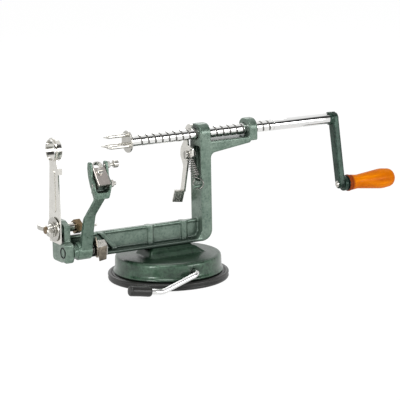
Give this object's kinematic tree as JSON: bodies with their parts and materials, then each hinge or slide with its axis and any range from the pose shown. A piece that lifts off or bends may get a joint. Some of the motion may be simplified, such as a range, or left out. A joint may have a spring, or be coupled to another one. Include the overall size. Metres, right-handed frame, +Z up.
{
  "type": "apple peeler",
  "caption": "Hand cranked fruit peeler on a round suction base: a lead screw shaft with a wooden crank grip, a sprung peeling arm and a swing-away slicing and coring blade.",
  "frame": {"origin": "centre of the round base on the table surface", "axes": "+X along the shaft towards the crank, +Z up, the peeling arm and suction lever on the -Y side"},
  "size_m": [0.3361, 0.1085, 0.13],
  "materials": {
    "green_paint": "satin enamel over cast metal",
    "dome_paint": "satin enamel over cast metal",
    "black_rubber": "matt",
    "chrome": "bright plated",
    "steel": "zinc plated",
    "blade_steel": "stainless, semi-bright",
    "dark_steel": "oiled, brownish",
    "wood": "amber varnish"
  },
  "bodies": {
    "frame": {"frame_casting": "green_paint", "base_dome": "dome_paint", "pad_rim": "black_rubber", "pad_membrane": "black_rubber", "frame_screws": "steel", "arm_pivot_rod": "steel", "wing_bolt": "dark_steel", "bolt_spacer": "steel", "large_washer": "steel", "small_washer": "steel", "lever_screw": "dark_steel", "spring_anchor": "dark_steel", "release_spring": "steel"},
    "feed": {"shaft_sleeve": "chrome"},
    "screw": {"lead_screw": "chrome", "fork_plate": "steel", "fork_prongs": "blade_steel", "crank_arm": "green_paint", "crank_set_screw": "dark_steel", "handle_pin": "steel"},
    "grip": {"wood_grip": "wood", "handle_washer": "steel"},
    "arm": {"peel_arm": "green_paint", "arm_pin": "steel", "arm_spring": "steel", "cross_bolt": "steel", "cross_nut": "steel", "depth_screw": "steel", "depth_nut": "steel", "blade_yoke": "chrome", "peel_blade": "blade_steel", "blade_screw": "steel"},
    "latch": {"arm_latch": "steel"},
    "lever": {"release_lever": "steel"},
    "slicer": {"slicing_blade": "blade_steel", "coring_ring": "blade_steel"},
    "wing": {"wing_nut": "steel"},
    "suction": {"lever_rod": "chrome", "lever_cam": "steel", "lever_grip": "black_rubber", "lever_clip": "steel"},
    "stud": {"pad_stud": "steel"}
  },
  "joints": [
    {"name": "shaft_feed", "type": "slide", "parent": "frame", "child": "feed", "axis": [1, 0, 0], "range_m": [-0.0621, 0.0481]},
    {"name": "crank_turn", "type": "hinge", "parent": "feed", "child": "screw", "pos_m": [0.12, 0, 0.1198], "axis": [1, 0, 0], "range_deg": [-3420, 2640]},
    {"name": "grip_spin", "type": "hinge", "parent": "screw", "child": "grip", "pos_m": [0.19, -0.01058, 0.06328], "axis": [1, 0, 0], "continuous": true},
    {"name": "arm_swing", "type": "hinge", "parent": "frame", "child": "arm", "pos_m": [-0.0846, -0.0102, 0.0363], "axis": [1, 0, 0], "range_deg": [-15.5, 35], "stiffness_Nm_per_rad": 0.3, "springref_deg": -1.15},
    {"name": "latch_swing", "type": "hinge", "parent": "frame", "child": "latch", "pos_m": [-0.0696, -0.0102, 0.0363], "axis": [1, 0, 0], "range_deg": [-10, 12]},
    {"name": "release_swing", "type": "hinge", "parent": "frame", "child": "lever", "pos_m": [0.024, 0.006, 0.1015], "axis": [1, 0, 0], "range_deg": [-16, 0], "stiffness_Nm_per_rad": 0.1, "springref_deg": 17.19, "deforming": ["release_spring"]},
    {"name": "slicer_swing", "type": "hinge", "parent": "frame", "child": "slicer", "pos_m": [-0.1037, 0, 0.0546], "axis": [1, 0, 0], "range_deg": [-100, 100]},
    {"name": "wing_turn", "type": "hinge", "parent": "frame", "child": "wing", "pos_m": [-0.1115, 0, 0.0546], "axis": [1, 0, 0], "range_deg": [0, 720]},
    {"name": "suction_turn", "type": "hinge", "parent": "frame", "child": "suction", "pos_m": [0, -0.045, 0.0142], "axis": [0, 1, 0], "range_deg": [0, 170]},
    {"name": "stud_lift", "type": "slide", "parent": "frame", "child": "stud", "axis": [0, 0, 1], "range_m": [-0.0041, 0], "deforming": ["pad_membrane"]}
  ],
  "couplings": [
    {"joint": "shaft_feed", "follows": "crank_turn", "m_per_rad": 0.0010345},
    {"joint": "stud_lift", "follows": "suction_turn", "m_per_rad": -0.00135}
  ]
}
